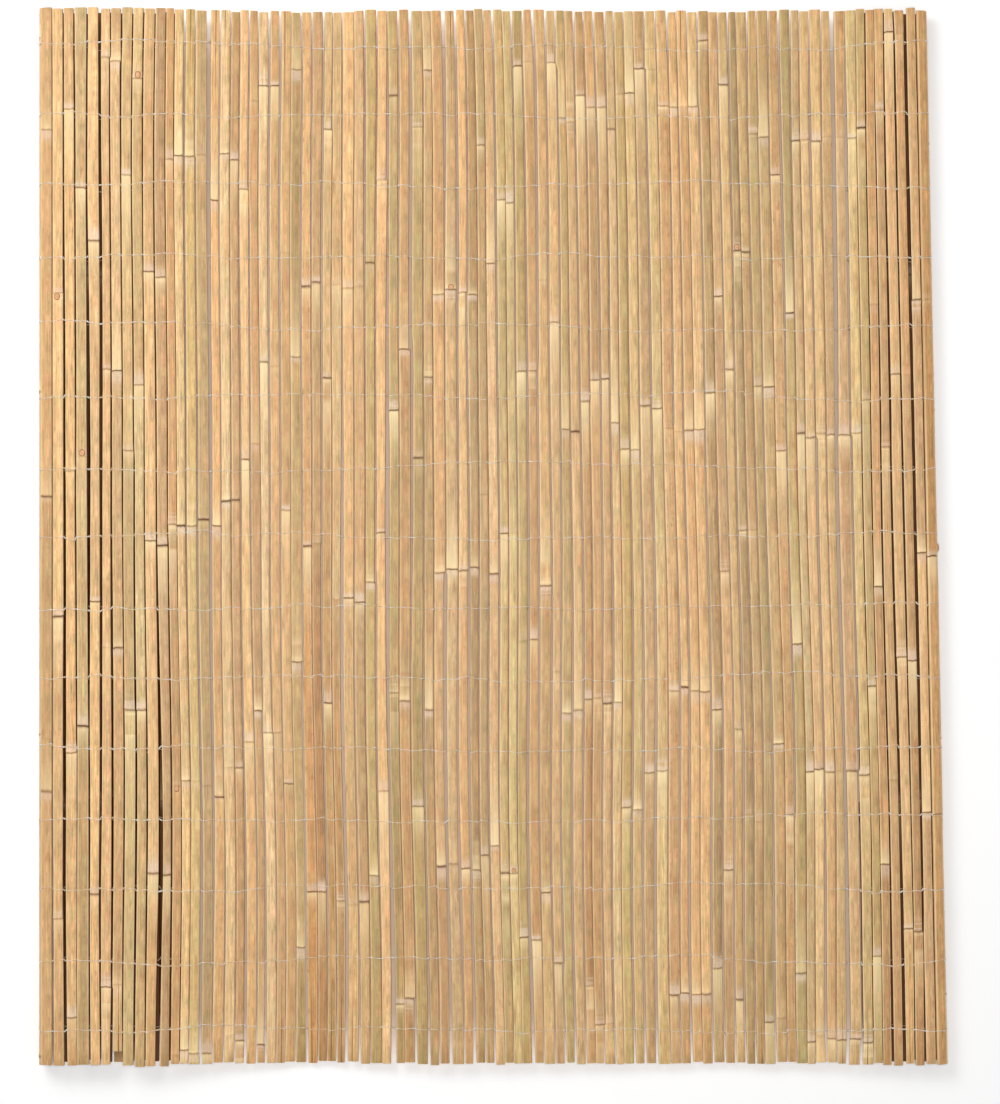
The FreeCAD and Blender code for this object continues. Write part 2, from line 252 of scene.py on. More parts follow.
def solids_of(node):
    """The CAD node's solids: the points and triangles of each."""
    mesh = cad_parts[node].data
    points = np.empty(len(mesh.vertices) * 3)
    mesh.vertices.foreach_get("co", points)
    mesh.calc_loop_triangles()
    triangles = np.empty(len(mesh.loop_triangles) * 3, np.int64)
    mesh.loop_triangles.foreach_get("vertices", triangles)
    keys = np.round(points.reshape(-1, 3) / (0.01 * MM)).astype(np.int64)
    keys, index = np.unique(keys, axis=0, return_inverse=True)
    points = keys * (0.01 * MM)
    triangles = index.ravel()[triangles].reshape(-1, 3)
    group = np.arange(len(points))
    settled = False
    while not settled:
        before = group.copy()
        low = group[triangles].min(axis=1)
        np.minimum.at(group, triangles.ravel(), np.repeat(low, 3))
        settled = bool((group == before).all())
    for name in np.unique(group):
        chosen = triangles[group[triangles[:, 0]] == name]
        kept, index = np.unique(chosen, return_inverse=True)
        yield points[kept], index.reshape(-1, 3)


def read_slats():
    """Every slat of the panel, in order along the row."""
    row = []
    for zone, order in ZONES:
        names = sorted(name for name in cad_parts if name.startswith(zone))
        members = [Slat(name, points, triangles) for name in names
                   for points, triangles in solids_of(name)]
        row += sorted(members, key=order)
    return row


def of_zone(row, zone):
    """The slats of one zone, in order along the row."""
    return [slat for slat in row if slat.node.startswith(zone)]


def same_culm(slat, other):
    """True where two neighbours carry their nodes at the same heights."""
    if slat.node.split("_slats")[0] != other.node.split("_slats")[0]:
        return False
    if not slat.nodes or len(slat.nodes) != len(other.nodes):
        return False
    own = [slat.point(0, s, 0)[1] for s in slat.nodes]
    others = [other.point(0, s, 0)[1] for s in other.nodes]
    return all(abs(a - b) < CULM_MATCH for a, b in zip(own, others))


def room_between(slat, other):
    """Least gap between the sides of two neighbours."""
    gaps = []
    for share in (-0.46, 0.46):
        s = share * slat.length
        y = slat.point(0, s, 0)[1]
        edge = slat.point(slat.half_width, s, 0)
        facing = other.point(-other.half_width, other.station(y), 0)
        gaps.append(float(np.linalg.norm(facing - edge)))
    return min(gaps)


def settle_row(row, rng):
    """Give every slat its culm and its slight bends, within the room beside it."""
    culm = 0
    for k, slat in enumerate(row):
        if k and not same_culm(row[k - 1], slat):
            culm += 1
        slat.culm = culm
    rooms = [room_between(a, b) for a, b in zip(row, row[1:])]
    rooms = [rooms[0]] + rooms + [rooms[-1]]
    face = [k for k, slat in enumerate(row) if slat.node.startswith("face")]
    gaps = []
    for k, room in enumerate(rooms):
        beside = row[max(k - 1, 0):k + 1]
        heights = sorted({slat.point(0, s, 0)[1] for slat in beside[:1] for s in slat.nodes})
        heights = [-row[0].length / 2] + heights + [row[0].length / 2]
        flat = all(slat.node.startswith("face") for slat in beside)
        stray = (FACE_STRAY if flat else TURN_STRAY) * min(room / (1.5 * MM), 1.6)
        gaps.append(Gap(room, stray, heights, rng))
    for k, slat in enumerate(row):
        slat.sides = (gaps[k], gaps[k + 1])
    for k, slat in enumerate(row):
        room = min(rooms[k], rooms[k + 1], MOST_ROOM)
        stations = [-slat.length / 2] + slat.nodes + [slat.length / 2]
        slat.kinks = (stations, [0.16 * room * rng.uniform(-1, 1) for _ in stations])
        slat.sway = [(0.06 * room, rng.uniform(9.0, 20.0), rng.uniform(0, 6.28))]
        if slat.node.startswith("face"):
            # neighbours stray together, as the whole screen does, but not beside the turns
            from_turn = min(k - face[0], face[-1] - k)
            share = min(from_turn / CALM_SLATS, 1.0)
            for reach, wave, phase, drift in SCREEN_WAVES:
                slat.sway.append((reach * share, wave, phase + drift * slat.middle[0]))


ROW = read_slats()
settle_row(ROW, random.Random(SEED))


class Socket:
    """A shader value that Python expressions can work on."""

    def __init__(self, tree, socket):
        self.tree = tree
        self.socket = socket

    def math(self, operation, *others):
        return self.tree.node("ShaderNodeMath", {"operation": operation}, self, *others)

    def __add__(self, other):
        return self.math("ADD", other)

    __radd__ = __add__

    def __sub__(self, other):
        return self.math("SUBTRACT", other)

    def __rsub__(self, other):
        return self.tree.node("ShaderNodeMath", {"operation": "SUBTRACT"}, other, self)

    def __mul__(self, other):
        return self.math("MULTIPLY", other)

    __rmul__ = __mul__

    def clamp(self):
        return self.tree.node("ShaderNodeClamp", {}, self, 0.0, 1.0)

    def absolute(self):
        return self.math("ABSOLUTE")

    def ramp(self, low, high, start=0.0, end=1.0):
        """Straight ramp from start at low to end at high, held beyond them."""
        return self.tree.node("ShaderNodeMapRange", {"clamp": True}, self, low, high, start, end)


class Finish:
    """A new material and the nodes that are added to it."""

    def __init__(self, name):
        self.material = bpy.data.materials.new(name)
        self.material.use_nodes = True
        self.nodes = self.material.node_tree.nodes
        self.links = self.material.node_tree.links
        self.shader = self.nodes["Principled BSDF"]

    def node(self, kind, settings, *values, output=0, **named):
        """Add a node: its settings first, then values or links for its sockets in order or by name."""
        node = self.nodes.new(kind)
        for key, value in settings.items():
            setattr(node, key, value)
        pairs = [(node.inputs[k], value) for k, value in enumerate(values)]
        pairs += [(node.inputs[key.replace("_", " ")], value) for key, value in named.items()]
        for socket, value in pairs:
            self.feed(socket, value)
        return Socket(self, node.outputs[output])

    def feed(self, socket, value):
        if isinstance(value, Socket):
            self.links.new(value.socket, socket)
        else:
            socket.default_value = value

    def mix(self, share, first, second, blend="MIX"):
        """Mix two colours by a share."""
        node = self.nodes.new("ShaderNodeMix")
        node.data_type = "RGBA"
        node.blend_type = blend
        self.feed(node.inputs["Factor"], share)
        for socket, value in ((node.inputs[6], first), (node.inputs[7], second)):
            self.feed(socket, value)
        return Socket(self, node.outputs[2])

    def attribute(self, name):
        """The red, green, blue and alpha parts of a piece's own attribute, and its colour."""
        node = self.nodes.new("ShaderNodeAttribute")
        node.attribute_name = name
        parts = self.nodes.new("ShaderNodeSeparateColor")
        self.links.new(node.outputs["Color"], parts.inputs[0])
        values = [Socket(self, output) for output in parts.outputs]
        return values + [Socket(self, node.outputs["Alpha"]), Socket(self, node.outputs["Color"])]

    def noise(self, vector, scale, detail=2.0, roughness=0.5):
        return self.node("ShaderNodeTexNoise", {}, Vector=vector, Scale=scale, Detail=detail,
                         Roughness=roughness)

    def place(self):
        """Object coordinates, in metres."""
        return self.node("ShaderNodeTexCoord", {}, output=3)

    def surface(self, colour, rough):
        """Give the shader its colour and roughness, and return the material."""
        self.feed(self.shader.inputs["Base Color"], colour)
        self.feed(self.shader.inputs["Roughness"], rough)
        return self.material


def linear(colour):
    """A screen colour as the linear one that shaders and attributes hold."""
    return [c / 12.92 if c <= 0.04045 else ((c + 0.055) / 1.055) ** 2.4 for c in colour]


def rgba(colour):
    return (*linear(colour), 1.0)


def bamboo_finish(look):
    """Split bamboo: streaked skin in its culm's own colour, cut sides and back, marked nodes,
    with painted shade on the right of each slat and on inner sides at the ends, and a painted
    highlight on the left edges.
    """
    finish = Finish("split_bamboo")
    culm = finish.attribute("culm_colour")[4]
    scar, wax, pale, crack = finish.attribute("node_marks")[:4]
    skin, mottle, across, cut = finish.attribute("slat_marks")[:4]
    # the first of the slat's traits is how much painted shade its sides and back carry
    inner, patchy, worn, crack_at = finish.attribute("slat_traits")[:4]
    grain = finish.node("ShaderNodeUVMap", {"uv_map": "grain"})

    def pattern(across, along, scale=1.0, detail=3.0, roughness=0.6):
        """Noise at different scales across and along a slat."""
        place = finish.node("ShaderNodeMapping", {}, Vector=grain, Scale=(across, along, 1.0))
        return finish.noise(place, scale, detail, roughness)

    wide_streaks = pattern(330.0, 2.6)
    fine_streaks = pattern(1500.0, 12.0, roughness=0.65)
    ripe = pattern(120.0, 5.5)
    dull = pattern(95.0, 8.0, scale=3.1)
    blotches = pattern(200.0, 60.0, detail=4.0, roughness=0.7)
    clouds = pattern(70.0, 24.0)
    specks = pattern(1000.0, 420.0, detail=2.0, roughness=0.5)
    stains = pattern(210.0, 17.0)
    hue = pattern(80.0, 26.0, scale=1.7, detail=2.0, roughness=0.5)

    colour = finish.mix(ripe.ramp(0.48, 0.66) * (0.35 + 0.55 * patchy), culm, rgba(look.ripe_tone))
    colour = finish.mix(dull.ramp(0.52, 0.36) * (0.4 + 0.5 * patchy), colour, rgba(look.dull_tone))
    colour = finish.mix(wide_streaks.ramp(0.55, 0.72) * 0.35, colour, rgba(look.pink_tone))
    colour = finish.mix(wide_streaks.ramp(0.45, 0.3) * 0.35, colour, rgba(look.green_tone))
    shade = fine_streaks.ramp(0.3, 0.7, 0.71, 1.21) * blotches.ramp(0.34, 0.62, 0.81, 1.08)
    # the last factor is painted shade: each slat grows darker towards its right side, as if lit from
    # the left
    shade = shade * clouds.ramp(0.37, 0.62, 0.84, 1.1) * across.ramp(0.7, 1.0, 1.0, 0.82)
    # darker parts are browner and lighter ones creamier
    red = shade * hue.ramp(0.36, 0.64, 0.95, 1.04)
    green = shade * hue.ramp(0.36, 0.64, 1.03, 0.968) * shade.ramp(0.65, 1.1, 0.95, 1.045)
    blue = shade * shade.ramp(0.65, 1.1, 0.9, 1.08)
    tint = finish.node("ShaderNodeCombineColor", {}, red, green, blue)
    colour = finish.mix(1.0, colour, tint, "MULTIPLY")
    # painted highlight along the left edge of each slat, as if lit from the left, and a pale right edge
    # on worn slats
    lit_and_worn_edges = across.ramp(0.2, 0.05) * wide_streaks.ramp(0.35, 0.6, 0.35, 0.85)
    lit_and_worn_edges = lit_and_worn_edges + across.ramp(0.84, 0.96) * worn * 0.7
    colour = finish.mix(lit_and_worn_edges.clamp(), colour, rgba(look.lit_and_worn_edge_colour))
    spotted = blotches.ramp(0.53, 0.64) * mottle
    colour = finish.mix(spotted * 0.6, colour, rgba(look.spot_colour))
    burnt = stains.ramp(0.6, 0.72) * (0.25 + 0.5 * worn)
    colour = finish.mix(burnt, colour, rgba(look.burnt_colour))
    flecks = specks.ramp(0.66, 0.73) * (0.4 + 0.6 * mottle)
    colour = finish.mix(flecks * 0.5, colour, rgba(look.spot_colour))

    cut_end = finish.mix(fine_streaks.ramp(0.35, 0.7), rgba(look.cut_colour), rgba(look.pith_colour))
    # painted shade on the inner sides where two layers lie, mixed into the cut sides and back
    cut_side_and_shade = finish.mix(inner, cut_end, rgba(look.painted_shade_colour))
    colour = finish.mix((1.0 - skin).clamp(), colour, cut_side_and_shade)
    creamy = pale * wide_streaks.ramp(0.25, 0.6, 0.55, 0.95) * (1.0 - scar)
    colour = finish.mix(creamy.clamp(), colour, rgba(look.pale_colour))
    dusty = wax * specks.ramp(0.36, 0.6, 0.45, 1.0) * blotches.ramp(0.3, 0.55, 0.65, 1.0)
    colour = finish.mix((dusty * 0.85).clamp(), colour, rgba(look.wax_colour))
    dark_line = (scar * scar * blotches.ramp(0.3, 0.5, 0.75, 1.15)).clamp()
    colour = finish.mix(dark_line, colour, rgba(look.scar_colour))
    wobble = (wide_streaks - 0.5) * 0.12
    line = (across - crack_at + wobble).absolute().ramp(0.05, 0.02) * crack
    colour = finish.mix(line, colour, rgba(look.scar_colour))
    colour = finish.mix(cut * 0.8, colour, cut_end)

    rough = skin.ramp(0.0, 1.0, 0.8, 0.5) + 0.22 * wax + (fine_streaks - 0.5) * 0.25
    relief = fine_streaks * 0.5 + wide_streaks * 0.7 + specks * (0.15 + 0.5 * wax) - line
    bump = finish.node("ShaderNodeBump", {}, Strength=0.4, Distance=0.25 * MM, Height=relief)
    finish.feed(finish.shader.inputs["Normal"], bump)
    finish.shader.inputs["Specular IOR Level"].default_value = 0.4
    return finish.surface(colour, rough.clamp())


def wire_finish(look):
    """Galvanised wire: bright zinc with duller flecks."""
    finish = Finish("galvanised_wire")
    place = finish.place()
    flecks = finish.noise(place, 900.0, 3.0, 0.6)
    patches = finish.noise(place, 150.0, 2.0, 0.6)
    colour = finish.mix(flecks.ramp(0.4, 0.65), rgba(look.zinc_dull), rgba(look.zinc_bright))
    colour = finish.mix(patches.ramp(0.54, 0.48) * 0.9, colour, rgba(look.zinc_dusty))
    finish.shader.inputs["Metallic"].default_value = 0.1
    return finish.surface(colour, flecks.ramp(0.3, 0.7, 0.45, 0.28))


def fibre_finish(look):
    """Loose fibres: dry straw with darker parts."""
    finish = Finish("dry_fibre")
    parts = finish.noise(finish.place(), 300.0, 3.0, 0.6)
    colour = finish.mix(parts.ramp(0.35, 0.65), rgba(look.pale_colour), rgba(look.ripe_tone))
    return finish.surface(colour, parts.ramp(0.3, 0.7, 0.6, 0.8))


def bud_finish(look):
    """Bud scars: a pinkish mound with a dark brown rim."""
    finish = Finish("bud_scar")
    rim = finish.attribute("rim")[0]
    parts = finish.noise(finish.place(), 900.0, 3.0, 0.6)
    heart = finish.mix(parts.ramp(0.5, 0.62), rgba(look.bud_colour), rgba(look.burnt_colour))
    ring = (rim + (parts - 0.5) * 0.8).ramp(0.45, 0.8) * 0.75
    colour = finish.mix(ring, heart, rgba(look.scar_colour))
    return finish.surface(colour, parts.ramp(0.3, 0.7, 0.5, 0.75))


def select_none():
    bpy.ops.object.select_all(action="DESELECT")


def choose(pieces):
    """Select these objects, the first one active."""
    select_none()
    for piece in pieces:
        piece.select_set(True)
    bpy.context.view_layer.objects.active = pieces[0]


def section_outline():
    """The whole cross-section, from the middle of the skin round to it again."""
    right = list(HALF_SECTION)
    left = [(-side, depth) for side, depth in HALF_SECTION[-2:0:-1]]
    return np.array(right + left)


def model_slat():
    """One slat as a tube of rings, with closed ends. Returns it and each point's ring and side."""
    outline = section_outline()
    select_none()
    bpy.ops.mesh.primitive_cylinder_add(vertices=len(outline), radius=1.0, depth=2.0,
                                        end_fill_type="NGON")
    slat = bpy.context.object
    slat.name = "slat_blank"
    bpy.ops.object.mode_set(mode="EDIT")
    bpy.ops.mesh.select_mode(type="EDGE")
    bpy.ops.mesh.select_all(action="DESELECT")
    bpy.ops.object.mode_set(mode="OBJECT")
    for edge in slat.data.edges:
        ends = [slat.data.vertices[k].co.z for k in edge.vertices]
        edge.select = abs(ends[0] - ends[1]) > 1.0
    bpy.ops.object.mode_set(mode="EDIT")
    bpy.ops.mesh.subdivide(number_cuts=SLAT_RINGS - 2)
    bpy.ops.object.mode_set(mode="OBJECT")
    points = np.array([vertex.co for vertex in slat.data.vertices])
    ring = np.round((points[:, 2] + 1) / 2 * (SLAT_RINGS - 1)).astype(int)
    turn = np.arctan2(points[:, 0], points[:, 1]) / (2 * math.pi) * len(outline)
    side = np.round(turn).astype(int) % len(outline)
    return slat, ring, side


def rings_of(slat):
    """Stations of a slat's rings, and the marks at each: ridge, scar, bloom, pale ring."""
    half = slat.length / 2
    stations = []
    for node, flip, bloom_reach, cream_reach, smudge, strong in slat.lines:
        for offset, *marks in NODE_RINGS:
            reach = offset
            if abs(offset) > 5:
                reach *= bloom_reach if offset > 0 else cream_reach
            marks = [mark * share for mark, share in zip(marks, strong)]
            marks[1] = max(marks[1], smudge * math.exp(-(offset / 2.4) ** 2))
            stations.append((node + flip * reach * MM, node, marks))
    stations = [item for item in stations if abs(item[0]) < half - 1.5 * MM]
    plain = SLAT_RINGS - 4 - len(stations)
    for k in range(plain):
        s = -half + (k + 1) / (plain + 1) * slat.length
        stations.append((s, None, [0.0, 0.0, 0.0, 0.0]))
    for s in (-half, -half + 0.5 * MM, half - 0.5 * MM, half):
        stations.append((s, None, [0.0, 0.0, 0.0, 0.0]))
    stations.sort(key=lambda item: item[0])
    marked = [item for item in stations if item[1] is not None]
    if marked:
        # a plain ring takes its marks from those of the nodes' rings on either side
        at = [item[0] for item in marked]
        table = np.array([item[2] for item in marked])
        for k, (s, node, marks) in enumerate(stations):
            if node is None:
                values = [float(np.interp(s, at, column)) for column in table.T]
                stations[k] = (s, None, values)
    return stations


def write_marks(mesh, name, values):
    """Keep four values for each point of a mesh as an attribute that its material reads."""
    marks = mesh.attributes.new(name, "FLOAT_COLOR", "POINT")
    marks.data.foreach_set("color", values.astype(np.float32).ravel())


def paint(piece, material):
    """Give a piece this material and no other."""
    piece.data.materials.clear()
    piece.data.materials.append(material)


def shape_slat(slat, blank, ring, side, rng):
    """A copy of the blank, shaped to one slat, with its colours and marks as attributes."""
    outline = section_outline()
    mesh = blank.data.copy()
    stations = rings_of(slat)
    count = len(stations)
    s_ring = np.array([item[0] for item in stations])
    for k in range(1, count):
        s_ring[k] = max(s_ring[k], s_ring[k - 1] + 0.05 * MM)
    marks = np.array([item[2] for item in stations])
    half = slat.length / 2

    near = np.zeros(count)
    swell = np.zeros(count)
    segment = np.ones(count) * rng.uniform(0.97, 1.0)
    for node, flip, *_ in slat.lines:
        away = (s_ring - node) * flip
        near = np.maximum(near, np.exp(-np.abs(away) / (7 * MM)))
        swell += np.exp(-np.abs(away) / (9 * MM)) * np.where(away < 0, 0.1, 0.25) * MM
        past = np.clip((s_ring - node) / (4 * MM) + 0.5, 0, 1)
        segment = segment + past * (rng.uniform(0.95, 1.0) - segment)
    wave = rng.uniform(0, 6.28)
    slow_wave = 0.012 * np.sin(s_ring * 21 + wave)
    quick_wave = 0.008 * np.sin(s_ring * 67 + 2 * wave)
    breadth = segment * (1 + slow_wave + quick_wave)
    width = slat.half_width * breadth + swell
    depth = slat.thickness * (1 - 0.025 * (1 + np.sin(s_ring * 31 + wave)))
    ends = np.abs(s_ring) > half - 0.2 * MM
    width = np.where(ends, width - 0.35 * MM, width)

    share = outline[side, 0]
    low = outline[side, 1]
    s = s_ring[ring]
    tilt = rng.uniform(-0.6, 0.6) * MM
    arch = rng.uniform(-1.1, 1.1) * MM
    curve = near[ring] * (tilt * share + arch * (share ** 2 - 0.4)
                          + 0.35 * MM * np.sin(share * 5 + wave))
    s = np.clip(s + np.where(np.abs(s) < half - 12 * MM, curve, 0.0), -half, half)
    dome = 0.12 * MM * (1 - share ** 2)
    on_skin = np.clip(1 - low / 0.2, 0, 1)
    out = slat.thickness / 2 - low * depth[ring]
    out += on_skin * (slat.ridge * marks[ring, 0] * np.clip(1.15 - share ** 4, 0, 1) - dome * 0.3)
    end_inset = np.where(ends[ring], 0.3 * MM, 0.0)
    out = np.where(low < 0.5, out - end_inset, out + end_inset)
    sideways = share * width[ring] + slat.bend(s, share)
    points = (slat.middle[None, :] + slat.across[None, :] * sideways[:, None]
              + slat.along[None, :] * s[:, None] + slat.out[None, :] * out[:, None])
    mesh.vertices.foreach_set("co", points.astype(np.float32).ravel())

    tones = np.tile(slat.tones[0], (count, 1))
    for node, tone in zip(slat.nodes, slat.tones[1:]):
        past = np.clip((s_ring - node) / (3 * MM) + 0.5, 0, 1)[:, None]
        tones = tones + past * (np.array(tone) - tones)
    tones = np.column_stack((tones * np.array(slat.colour), np.ones(count)))
    write_marks(mesh, "culm_colour", tones[ring])
    node_marks = np.stack((marks[ring, 1], marks[ring, 2], marks[ring, 3],
                           slat.crack(s_ring)[ring]), axis=1)
    node_marks[:, :3] *= np.where(low < 0.5, 1.0, 0.4)[:, None]
    write_marks(mesh, "node_marks", node_marks)
    skin = np.clip(1 - (low - 0.1) / 0.3, 0, 1)
    slat_marks = np.stack((skin, np.full(len(points), slat.mottle), 0.5 + share * 0.5,
                           ends[ring] * 1.0), axis=1)
    write_marks(mesh, "slat_marks", slat_marks)

    traits = np.tile((*slat.traits, slat.crack_at), (len(points), 1))
    # painted shade: a turn slat carries it on its back only, and it is weaker on the lit ends below the
    # short slat
    traits[:, 0] *= np.where(low > 0.95, 1.0, slat.dark_sides)
    traits[:, 0] *= np.where(s * slat.along[1] < slat.light_end - half, 0.3, 1.0)
    write_marks(mesh, "slat_traits", traits)

    girth = np.cumsum([0.0] + [float(np.hypot(*((b - a) * (slat.half_width, slat.thickness))))
                               for a, b in zip(outline, outline[1:])])
    uv = mesh.uv_layers.new(name="grain")
    loops = np.empty(len(mesh.loops), np.int64)
    mesh.loops.foreach_get("vertex_index", loops)
    flat = np.stack((slat.place_in_row * GRAIN_ACROSS + girth[side[loops]],
                     slat.place_in_row * GRAIN_ALONG + s[loops]), axis=1)
    uv.data.foreach_set("uv", flat.astype(np.float32).ravel())
    piece = bpy.data.objects.new("shaped_slat", mesh)
    bpy.context.scene.collection.objects.link(piece)
    return piece


def colour_row(row, look, rng):
    """Give each culm its colour and each slat its shade of it, its node marks and its cracks."""
    tones = [(look.straw, 0.31), (look.pale_straw, 0.18), (look.pink_tan, 0.12),
             (look.green_grey, 0.17), (look.grey_beige, 0.14), (look.orange_tan, 0.08)]
    weights = [share for _, share in tones]
    cream = random.Random(SEED + 13)
    culm = None
    for k, slat in enumerate(row):
        if slat.culm != culm:
            culm = slat.culm
            first, second = rng.choices([tone for tone, _ in tones], weights, k=2)
            share = rng.uniform(0.0, 0.35)
            base = [a + (b - a) * share for a, b in zip(linear(first), linear(second))]
            flip = 1 if rng.random() < BLOOM_ABOVE else -1
        shade = rng.uniform(0.76, 1.19)
        warm = rng.uniform(-0.03, 0.03)
        slat.colour = shaded(base, shade)
        slat.colour[0] *= 1 + warm
        slat.colour[2] *= 1 - 1.5 * warm
        slat.mottle = rng.uniform(0.6, 1.0) if rng.random() < MOTTLED else rng.uniform(0.0, 0.3)
        # painted shade on the inner sides of the turns and flaps; face slats over the flaps get it
        # later
        inner = 0.0 if slat.node.startswith("face") else look.inner_shade
        slat.traits = (inner, rng.random(), rng.random())
        slat.dark_sides = 0.0 if "turn" in slat.node else 1.0
        slat.light_end = 0.0
        slat.place_in_row = k
        slat.lines = []
        for node in slat.nodes:
            faint = rng.uniform(0.15, 0.45) if rng.random() < FAINT else 1.0
            strong = (1.0, rng.uniform(0.6, 1.0) * max(faint, 0.4), rng.uniform(0.5, 1.0) * faint,
                      rng.uniform(0.5, 1.0) * faint)
            smudge = rng.uniform(0.6, 1.0) if rng.random() < SMUDGED else 0.0
            bloom_reach = rng.uniform(0.5, 1.5)
            cream_reach = cream.uniform(2.0, 4.2) if cream.random() < CREAMY else bloom_reach
            slat.lines.append((node, flip, bloom_reach, cream_reach, smudge, strong))
        slat.tones = [segment_tone(rng) for _ in range(len(slat.nodes) + 1)]
        end = rng.choice((-1, 1))
        depth = rng.uniform(60, 160) * MM if rng.random() < SPLIT else 0.0
        slat.crack = make_crack(slat.length / 2, end, depth)
        slat.crack_at = rng.uniform(0.35, 0.65)
    shade_and_tone_ends(row, look, rng)
    brown_halves(row)


def shade_and_tone_ends(row, look, rng):
    """Paint shade on the inner sides where two layers lie, and give the ends tones like the photo's."""
    face = of_zone(row, "face")
    for slat in face[:PAINTED_SHADE_LEFT] + face[-PAINTED_SHADE_RIGHT:]:
        slat.traits = (look.inner_shade, *slat.traits[1:])
    # below the short slat, light falls on the ends of the flap's slats, so their painted shade is
    # weaker there
    short = min(face, key=lambda slat: slat.length)
    for slat in row:
        if "flap" in slat.node and abs(slat.middle[0] - short.middle[0]) < 2.2 * short.half_width:
            slat.light_end = 1.3 * (face[0].length - short.length)
    strip, upper = of_zone(row, "left_turn")[-2:]
    strip.colour = linear(look.pale_straw)
    golden = (look.straw, look.straw, look.pink_tan, look.pale_straw, look.grey_beige)
    tan = (look.straw, look.orange_tan, look.straw, look.pink_tan, look.grey_beige)
    for slats, tones, darkest, lightest in (
            (face[:GOLDEN_SLATS] + [upper], golden, 0.9, 1.2),
            (face[-PAINTED_SHADE_RIGHT:] + of_zone(row, "right_turn"), tan, 0.86, 1.04)):
        for slat in slats:
            tone = linear(rng.choice(tones))
            slat.colour = shaded(tone, rng.uniform(darkest, lightest))


def brown_halves(row):
    """Make a few neighbours brown over their lower half."""
    for slat in of_zone(row, "face"):
        if not BROWN_FROM < slat.middle[0] < BROWN_TO:
            continue
        stations = [-slat.length / 2, *slat.nodes, slat.length / 2]
        for k, (start, end) in enumerate(zip(stations, stations[1:])):
            if slat.middle[1] + slat.along[1] * (start + end) / 2 < 0:
                slat.tones[k] = [c * part for c, part in zip(slat.tones[k], BROWN_SHARES)]


def shaded(colour, shade):
    """A tone of bamboo made darker and browner, or lighter and creamier."""
    return [c * shade ** power for c, power in zip(colour, SHADE_POWERS)]


def segment_tone(rng):
    """How one length of a culm, from node to node, differs in colour from the whole."""
    shade = rng.uniform(0.82, 1.1)
    warm = rng.uniform(-0.03, 0.03)
    green = rng.uniform(0.0, 0.035)
    return shaded((1 + warm - green, 1 + 0.6 * green, 1 - 1.6 * warm), shade)


def make_crack(half, end, depth):
    """How open the split is at each station of a slat that has split from one end."""
    def opening(stations):
        if not depth:
            return np.zeros(len(stations))
        return np.clip((end * stations - (half - depth)) / depth, 0, 1) ** 0.5
    return opening


def dress_slats(zones, look):
    """Shape the slats of these zones and give each CAD node's bundle its own piece."""
    rng = random.Random(SEED + len(zones))
    blank, ring, side = model_slat()
    material = bpy.data.materials.get("split_bamboo") or bamboo_finish(look)
    names = sorted({slat.node for slat in ROW if slat.node.startswith(zones)})
    for name in names:
        members = [shape_slat(slat, blank, ring, side, rng) for slat in ROW if slat.node == name]
        choose(members)
        if len(members) > 1:
            bpy.ops.object.join()
        piece = bpy.context.view_layer.objects.active
        piece.name = "split_" + name
        paint(piece, material)
        bpy.ops.object.shade_smooth_by_angle(angle=math.radians(SHARP_EDGE))
        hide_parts(name)
        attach(piece, "root")
    bpy.data.objects.remove(blank)


def strand_heights(row, height, look, rng):
    """Height of a row of wire at the left and right side of every slat: it wanders and slants."""
    drift = 0.0
    heights = []
    for _ in row:
        drift = 0.92 * drift + rng.uniform(-1, 1) * look.wire_wander
        middle = height + drift + rng.uniform(-0.7, 0.7) * MM
        slant = rng.uniform(-1, 1) * look.wire_tilt
        heights.append((middle - slant, middle + slant))
    return heights


def strand_path(row, heights, phase, look):
    """Points of one strand, over one slat and under the next with a twist between, and its thickness
    at each: it is thinner over a slat."""
    radius = look.wire_thickness / 2
    twist = 0.55 * look.wire_thickness
    up = np.array((0.0, 1.0, 0.0))
    points = []
    radii = []
    for k, slat in enumerate(row):
        sign = 1 if (k + phase) % 2 == 0 else -1
        start, end = heights[k]
        for share in STRAND_SHARES:
            s = slat.station(start + (end - start) * (share + 1) / 2 + sign * 0.1 * MM)
            level = slat.skin(s) if sign > 0 else slat.thickness / 2
            out = level + radius * 0.9 - (STRAND_SINK if abs(share) == 1.0 else 0.0)
            points.append(slat.point(share * (slat.half_width - STRAND_INSET), s, sign * out))
            radii.append(0.72 + 0.43 * abs(share))
        if k + 1 < len(row):
            following = row[k + 1]
            left = slat.point(slat.half_width, slat.station(end), 0)
            right = following.point(-following.half_width, following.station(heights[k + 1][0]), 0)
            span = right - left
            width = float(np.linalg.norm(span))
            turns = 1.5 if width > WIDE_ROOM else 0.5
            steps = 7 if turns > 1 else 3
            normal = slat.out + following.out
            normal /= np.linalg.norm(normal)
            lift = 0.36 * slat.thickness * normal
            for j in range(1, steps):
                share = j / steps
                angle = share * turns * 2 * math.pi
                reach = twist * (1.35 + 2.0 * abs(share - 0.5) ** 2)
                points.append(left + span * share + math.sin(share * math.pi) * lift
                              + sign * reach * math.cos(angle) * normal
                              + sign * reach * math.sin(angle) * up)
                radii.append(1.3 if turns > 1 else 1.1)
    return points, radii


def wire_tail(row, height, last, phase, look):
    """The strands' ends, twisted together past the free edge of a flap."""
    slat = row[-1] if last else row[0]
    sign = 1 if last else -1
    s = slat.station(height)
    points = []
    for k in range(1, 10):
        angle = k * 1.3 + (0 if phase else math.pi)
        reach = 0.55 * look.wire_thickness
        out = reach * math.cos(angle)
        side = slat.half_width + (0.4 + 0.9 * k) * MM
        points.append(slat.point(sign * side, s + reach * math.sin(angle) + 0.4 * k * MM, out))
    return points


